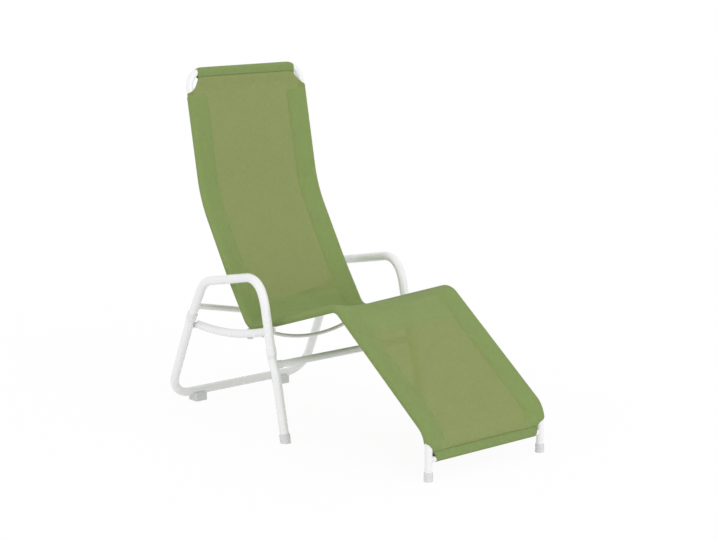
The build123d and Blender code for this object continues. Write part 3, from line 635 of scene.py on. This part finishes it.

# %% [markdown]
# ## The cloth
# Half a section holds the panel's columns and the upper layer's columns, and its mirror image makes the
# other half. The lower layer is a grid of its own on each side: it starts 9 mm inside the seam, under
# the panel, and meets the upper layer at the outside of the rail, where the points are merged. In the
# cut rows the layers end early and stay apart, which opens the pocket. Towards both hems the upper layer
# sinks to the rails' line. From the hollow of the seat to just past the knee the panel is one layer, but
# it is given most of the greener tone of the doubled bands there. That tone is painted green bounce
# light from the hollow, and it also makes that part of the panel let through less light.

# %% Main sheet
panel_columns, layer_columns, bent_columns, layer_bend = 24, 5, 8, 0.69
doubled_mark, hem_mark = 2.0, 3.0
band_start, tone_reach, turned_in = 0.005, 0.012, 0.009
seam_lift_reach, top_spread, foot_spread, fall_reach = 0.029, 0.045, 0.026, 0.02
painted_bounce_from, painted_bounce_rise, painted_bounce_to, painted_bounce_fall, painted_bounce_share = 0.865, 0.020, 1.600, 0.040, 0.8
rows_past_cut = 2


def closer_past(share, before, after):
    """Shares from 0 to 1: a number of even steps before a share, and a number of closer ones after it."""
    return np.concatenate([np.linspace(0, share, before + 1), np.linspace(share, 1, after + 1)[1:]])


def mirrored(half, sign):
    """A half section beside its mirror image, whose values are multiplied by a sign."""
    return np.hstack([sign * half[:, :0:-1], half])


row = rows[:, None]
layer_shares = closer_past(layer_bend, layer_columns, bent_columns)
end_length = drop_length(np.minimum(limit - rail_x, sleeve_radius), *side_drop)[:, None]

panel_across = seam_x * np.linspace(0, 1, panel_columns + 1)[None, :]
near_seam = np.clip(1 - (seam_x - panel_across) / seam_lift_reach, 0, 1)
panel_lift = panel_height(row, panel_across) + layer_lift * near_seam
layer_at = layer_shares[None, 1:] * end_length
layer_out, layer_up = drop_place(layer_at, *side_drop)
half_across = np.hstack([np.broadcast_to(panel_across, panel_lift.shape), rail_x + layer_out])
spread = np.clip((row - top_tip) / top_spread, 0, 1) * np.clip((foot_tip - row) / foot_spread, 0, 1)
half_height = np.hstack([panel_lift, layer_up * eased(spread)]) + seam_front(row)
half_flat = np.hstack([np.broadcast_to(panel_across, panel_lift.shape), seam_x + layer_at])
has_band = row > top_rows[-1] + band_start
doubled_share = np.clip((half_flat - seam_x + tone_reach) / tone_reach, 0, 1)
# Painted green bounce light: from the seat's hollow to past the knee the single panel takes most of the
# doubled bands' tone.
painted_bounce = np.clip((row - painted_bounce_from) / painted_bounce_rise, 0, 1) * np.clip((painted_bounce_to - row) / painted_bounce_fall, 0, 1)
half_layers_and_bounce = 1 + np.where(has_band, np.maximum(doubled_share, painted_bounce_share * painted_bounce), 0)

upper_across = mirrored(half_across, -1)
near_top = np.clip(1 - (row - top_tip) / fall_reach, 0, 1)
upper = on_profile(row + top_fall(upper_across) * near_top, upper_across, mirrored(half_height, 1))
upper_faces = grid_faces(*upper.shape[:2])[:, ::-1]
sheets = [(upper, upper_faces, mirrored(half_flat, -1), mirrored(half_layers_and_bounce, 1), row)]

lower_shares = np.concatenate([[-1], layer_shares])
inner = lower_shares < 0
lower_at = np.where(inner, -turned_in, lower_shares[None, :] * end_length)
lower_out, lower_up = drop_place(lower_at, *side_drop)
lower_out = np.where(inner, -seam_reach - turned_in, lower_out)
inner_height = 2 * layer_lift - panel_height(row, seam_x - turned_in)
lower_up = np.where(inner, inner_height, lower_up)
doubled = slice(np.flatnonzero(has_band)[0], uncut[-1] + 1 + rows_past_cut)
for side in (1, -1):
    lower = on_profile(row, side * (rail_x + lower_out), -lower_up)[doubled]
    lower_faces = grid_faces(*lower.shape[:2])
    flat = side * (seam_x + 2 * layer_length - lower_at)[doubled]
    marks = np.full(flat.shape, doubled_mark)
    sheets.append((lower, lower_faces[:, ::side], flat, marks, row[doubled]))

points, faces, flats, lengths, layers, count = [], [], [], [], [], 0
for sheet_points, sheet_faces, sheet_flat, sheet_layers, sheet_rows in sheets:
    points.append(sheet_points.reshape(-1, 3))
    faces.append(sheet_faces + count)
    flats.append(sheet_flat.ravel())
    lengths.append(np.broadcast_to(sheet_rows, sheet_flat.shape).ravel())
    layers.append(sheet_layers.ravel())
    count += points[-1].shape[0]
print("cloth points", count, "faces", sum(len(part) for part in faces))

# %% [markdown]
# ## Joining the cloth's layers
# The three grids become one mesh. Points of the upper and lower layers that fall on each other along
# the outside of a rail are merged, and the sheet is given its real thickness by a Solidify modifier.

# %% Cloth object
merge_distance = 1e-5


def merge_edges(edit):
    """Merges the points of a mesh's open edges that fall on each other."""
    edge_points = [point for point in edit.verts if point.is_boundary]
    bmesh.ops.remove_doubles(edit, verts=edge_points, dist=merge_distance)


def weave_sheet(name, points, faces, across, length, layers):
    """A mesh of cloth with its flat pattern in metres and its number of layers, merged where it meets."""
    made = add_mesh(name, points, faces, green_weave, "lying_frame")
    give_uv(made, across, length)
    give_values(made, "layers", layers)
    edit_mesh(made, merge_edges)
    thick = made.modifiers.new("thickness", "SOLIDIFY")
    thick.thickness = cloth_thickness
    thick.offset = 0.0
    return made


sling = weave_sheet("sling", np.vstack(points), np.vstack(faces), np.concatenate(flats),
                    np.concatenate(lengths), np.concatenate(layers))
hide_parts("sling_cloth")
print("sling has", len(sling.data.vertices), "points,", len(sling.data.polygons), "faces")

# %% [markdown]
# ## Hems
# The ends of the cloth are sewn into loops round the top tube and round the bar between the foot tubes.
# The top tube bends down at its ends, so the loop's centre follows it. Each loop is a drop whose tip
# holds the cloth's end between its two layers. Places round a bar are worked out as (y, z).

# %% Hem loops
hem_columns, hem_straight_steps, hem_bent_steps, hem_bend = 48, 5, 10, 0.6
hem_lift = 0.00115
top_hem_half = 0.221


def top_ends(height):
    """Half the width of the top hem, the same at each height."""
    return np.full(np.shape(height), top_hem_half)


def foot_ends(height):
    """Half the width of the foot hem at each height, on the cutting circle."""
    room = foot_cut["radius"] ** 2 - (height - foot_cut["height"]) ** 2
    return foot_cut["across"] - np.sqrt(room)


top_end = {"bar": top_tube, "tip": top_tip, "radius": 0.0136, "to_seam": profile_way[0],
           "front": profile_up[0], "in_front": top_seam_front, "fall": top_fall, "ends": top_ends,
           "stitched": 0.219, "stitch_lines": (0.002,)}
foot_end = {"bar": hem_bar, "tip": foot_tip_height - hem_bar[1], "radius": 0.01105, "to_seam": (0.0, 1.0),
            "front": profile_up[-1], "in_front": foot_seam_front, "fall": np.zeros_like, "ends": foot_ends,
            "stitched": 0.2310, "stitch_lines": (0.0025, 0.0065)}


def hem_place(end, sunk, out, up):
    """Places (y, z) that lie out past a bar's centre, away from the seam, and up in front of it.

    Where the bar bends down, its centre has sunk towards the seam."""
    return [end["bar"][axis] + end["to_seam"][axis] * (sunk - out) + end["front"][axis] * up
            for axis in (0, 1)]


def hem_loop(name, end):
    """A loop of cloth round a cross tube, from its seam on the front, round the tube, to its seam behind.

    The seam lies in front of the tube's centre, so the loop is two drops of unequal lift."""
    shares = closer_past(hem_bend, hem_straight_steps, hem_bent_steps)
    around = np.concatenate([shares, 2 - shares[::-1][1:]])[None, :]
    behind = around > 1
    drop = (end["tip"], hem_lift + np.where(behind, -end["in_front"], end["in_front"]), end["radius"])
    whole = drop_length(end["radius"], *drop)
    out, up = drop_place(np.minimum(around, 2 - around) * whole, *drop)
    column = np.linspace(-1, 1, hem_columns + 1)[:, None]
    sunk = end["fall"](column * end["ends"](end["bar"][1]))
    place = hem_place(end, sunk, out, np.where(behind, -up, up))
    width = column * end["ends"](place[1])
    hem_points = np.stack([width, *place], axis=-1)
    hem_faces = grid_faces(*hem_points.shape[:2])
    if end["to_seam"][1] < 0:
        hem_faces = hem_faces[:, ::-1]
    flat = np.where(behind, whole[:, :1] + (around - 1) * whole, around * whole)
    flat = np.broadcast_to(flat, width.shape)
    return weave_sheet(name, hem_points, hem_faces, width, flat, np.full(width.shape, hem_mark))


top_hem = hem_loop("top_hem", top_end)
foot_hem = hem_loop("foot_hem", foot_end)
print("hems", len(top_hem.data.polygons), len(foot_hem.data.polygons), "faces")

# %% [markdown]
# ## Stitches
# Two rows of lock stitch hold each side seam and the foot hem, and one row the top hem, on both faces
# of the cloth. A stitch is a short thread that rises out of its needle hole and dives into the next, so
# each one is a small dash with thin ends, highest in its middle. Rows lie just on the cloth.

# %% Stitch rows
stitch_pitch, stitch_length, stitch_width, stitch_height = 0.0040, 0.0032, 0.00055, 0.00040
dash_places = np.array([-0.5, -0.3, 0.3, 0.5])
dash_rises = np.array([0.15, 0.9, 0.9, 0.15])[None, :, None]
dash_widths = np.array([0.45, 1.0, 1.0, 0.45])[None, :, None]
dash_sunk = 0.4
side_lines = (0.003, 0.0085)
path_spacing, hem_path_points = 0.004, 120


def stitch_row(path, normal):
    """Points of all the dashes along one line: each has four rings of four points."""
    run = np.concatenate([[0], np.cumsum(np.linalg.norm(np.diff(path, axis=0), axis=1))])
    centres = np.arange(stitch_pitch, run[-1] - stitch_pitch, stitch_pitch)
    stations = centres[:, None] + stitch_length * dash_places[None, :]
    at = np.stack([np.interp(stations, run, path[:, axis]) for axis in range(3)], axis=-1)
    up = np.stack([np.interp(stations, run, normal[:, axis]) for axis in range(3)], axis=-1)
    ahead = at[:, -1:] - at[:, :1]
    side = np.cross(ahead, up)
    side /= np.linalg.norm(side, axis=-1, keepdims=True)
    crest = at + up * stitch_height * dash_rises
    left = at + side * stitch_width / 2 * dash_widths
    right = at - side * stitch_width / 2 * dash_widths
    under = at - up * stitch_height * dash_sunk
    return np.stack([crest, left, under, right], axis=2)


def add_stitches(name, dashes):
    """One mesh of many dashes, each a tube of three rings of quads, closed at both ends."""
    dashes = np.concatenate(dashes)
    closing_faces = [[3, 2, 1, 0], [12, 13, 14, 15]]
    dash_faces = np.vstack([grid_faces(4, 4, wrap_columns=True), closing_faces])
    faces = (np.arange(len(dashes))[:, None, None] * 16 + dash_faces[None]).reshape(-1, 4)
    return add_mesh(name, dashes, faces, green_thread, "lying_frame")


seam_run = np.arange(top_rows[-1], foot_tip - tongue, path_spacing)
slope = drop_start(*side_drop)[1]
side_dashes = []
for side in (1, -1):
    for from_seam in side_lines:
        out, up = drop_place(np.array(from_seam), *side_drop)
        across = side * (rail_x + out)
        for face in (1, -1):
            height = face * (up + cloth_thickness / 2 * math.cos(slope))
            path = on_profile(seam_run, across, height)
            normal = on_profile(seam_run, across, height + face * math.cos(slope)) - path
            normal[:, 0] -= side * math.sin(slope)
            side_dashes.append(stitch_row(path, normal))
side_stitches = add_stitches("side_seam_stitches", side_dashes)

hem_dashes = []
for end in (top_end, foot_end):
    across = np.linspace(-end["stitched"], end["stitched"], hem_path_points)
    for from_seam in end["stitch_lines"]:
        for face in (1, -1):
            drop = (end["tip"], hem_lift + face * end["in_front"], end["radius"])
            out, up = drop_place(np.array(from_seam), *drop)
            slope = drop_start(*drop)[1]
            place = hem_place(end, end["fall"](across), out, face * (up + cloth_thickness / 2))
            way = [face * end["front"][axis] * math.cos(slope) + end["to_seam"][axis] * math.sin(slope)
                   for axis in (0, 1)]
            normal = np.tile([0.0, *way], (len(across), 1))
            hem_dashes.append(stitch_row(np.stack([across, *place], axis=1), normal))
hem_stitches = add_stitches("hem_stitches", hem_dashes)
print("stitches", sum(len(part) for part in side_dashes + hem_dashes))

# %% [markdown]
# ## Weld beads
# Cross tubes are welded to the side tubes. A bead follows the curve where the small tube meets the large
# one: the point J + t a + o, with the small tube's axis a and a ring offset o, lies at the large tube's
# radius R from its axis b, which is a quadratic in t. The bead's small ripples are the steps of the torch.

# %% Weld beads
bead_steps, bead_sides, bead_ripples, ripple_height = 144, 10, 48, 0.14


def face_outwards(edit):
    """Turns the faces of a closed mesh outwards."""
    bmesh.ops.recalc_face_normals(edit, faces=edit.faces)


def weld_bead(name, joint, axis, radius, other_axis, other_radius, body, size=0.0019):
    """A rippled ring where a tube of one radius runs into a thicker tube."""
    a, b = (np.array(v, float) / np.linalg.norm(v) for v in (axis, other_axis))
    first = np.cross(a, b)
    first /= np.linalg.norm(first)
    second = np.cross(a, first)
    turn = np.linspace(0, 2 * np.pi, bead_steps, endpoint=False)[:, None]
    radial = np.cos(turn) * first + np.sin(turn) * second
    offset = radial * radius
    square = 1 - (a @ b) ** 2
    linear = -2 * (a @ b) * (offset @ b)
    rest = radius ** 2 - (offset @ b) ** 2 - other_radius ** 2
    reach = (-linear + np.sqrt(linear ** 2 - 4 * square * rest)) / (2 * square)
    on_both = np.array(joint) + a * reach[:, None] + offset
    away = on_both - np.array(joint)
    away = away - (away @ b)[:, None] * b
    away /= np.linalg.norm(away, axis=1)[:, None]
    ripple = size * (1 + ripple_height * np.abs(np.sin(turn * bead_ripples / 2)))
    section = np.linspace(0, 2 * np.pi, bead_sides, endpoint=False)[None, :, None]
    middle = on_both[:, None, :]
    bead = middle + ripple[:, None, :] * (np.cos(section) * radial[:, None, :]
                                          + np.sin(section) * away[:, None, :])
    faces = grid_faces(bead_steps, bead_sides, wrap_rows=True, wrap_columns=True)
    edit_mesh(add_mesh(name, bead, faces, white_tube, body), face_outwards)


hoop_radius, stop_bar_radius, hem_bar_radius = 0.016, 0.011, 0.010
stop_bar_end, stop_bar_way = np.array([0.320, 0.4999, 0.4030]), np.array([-0.320, 0.0371, -0.0710])
rear_leg_way = (0, -0.4897, 0.8719)
for side, label in ((-1, "right"), (1, "left")):
    mirror = np.array([side, 1, 1])
    weld_bead("stop_bar_weld_" + label, mirror * stop_bar_end, mirror * stop_bar_way, stop_bar_radius,
              rear_leg_way, hoop_radius, "base")
    weld_bead("hem_bar_weld_" + label, (side * rail_x, *hem_bar), (-side, 0, 0), hem_bar_radius,
              (0, 0, 1), rail_radius, "lying_frame", size=0.0016)
print("weld beads made")

# %% [markdown]
# ## Floor, world and light
# The photograph has a plain white background. The floor is white too: it glows for the camera, so that it
# reads as the same white, and still takes a faint shadow and sends light up from below.

# %% Stage
def seen_directly(nodes):
    """1 for what the camera sees, also in a reflection or through glass, and 0 for light that bounces."""
    camera_ray, glossy_ray, through_ray = (
        nodes.node("ShaderNodeLightPath", output=kind)
        for kind in ("Is Camera Ray", "Is Glossy Ray", "Is Transmission Ray"))
    return camera_ray.maths("MAXIMUM", glossy_ray).maths("MAXIMUM", through_ray)


def white_floor(glow_share, half_size=60.0):
    """A matt white floor. To the camera it is mostly a plain white, and a faint shadow stays on it."""
    mesh = bpy.data.meshes.new("floor")
    corners = [(x * half_size, y * half_size, 0) for x, y in ((-1, -1), (1, -1), (1, 1), (-1, 1))]
    mesh.from_pydata(corners, [], [(0, 1, 2, 3)])
    material = bpy.data.materials.new("white_floor")
    material.use_nodes = True
    tree = material.node_tree
    tree.nodes.remove(tree.nodes["Principled BSDF"])
    nodes = Nodes(tree, "Material Output")
    matt = nodes.node("ShaderNodeBsdfDiffuse", None, {"Color": grey(0.95)})
    glow = nodes.node("ShaderNodeEmission", None, {"Strength": 1.0})
    share = seen_directly(nodes) * glow_share
    nodes.feed("Surface", nodes.node("ShaderNodeMixShader", None, [share, matt, glow]))
    mesh.materials.append(material)
    made = bpy.data.objects.new("floor", mesh)
    bpy.context.scene.collection.objects.link(made)
    return made


def white_world(light_level):
    """White to the camera and to reflections, and an even light of the given level elsewhere."""
    world = bpy.data.worlds.new("white_world")
    world.use_nodes = True
    nodes = Nodes(world.node_tree, "Background")
    inputs = {"Value": seen_directly(nodes), "To Min": light_level, "To Max": 1.0}
    nodes.feed("Strength", nodes.node("ShaderNodeMapRange", None, inputs))
    nodes.last.inputs["Color"].default_value = grey(1.0)
    bpy.context.scene.world = world


def soft_sun(name, towards, level, spread, distance=5.0):
    """A broad far lamp in a direction. A matt surface that faces it shows level times its own colour."""
    lamp = bpy.data.lights.new(name, "SUN")
    lamp.energy, lamp.angle = level * math.pi, math.radians(spread)
    made = bpy.data.objects.new(name, lamp)
    made.location = Vector(towards) * distance
    made.rotation_mode = "QUATERNION"
    made.rotation_quaternion = (-Vector(towards)).to_track_quat("-Z", "Y")
    bpy.context.scene.collection.objects.link(made)


floor = white_floor(glow_share=0.93)
white_world(light_level=0.90)
soft_sun("left_light", (-0.94, 0.0, 0.34), level=0.10, spread=50)
soft_sun("front_light", (0.0, -0.94, 0.34), level=0.20, spread=50)
bpy.context.scene.view_settings.view_transform = "Standard"
print("stage ready")
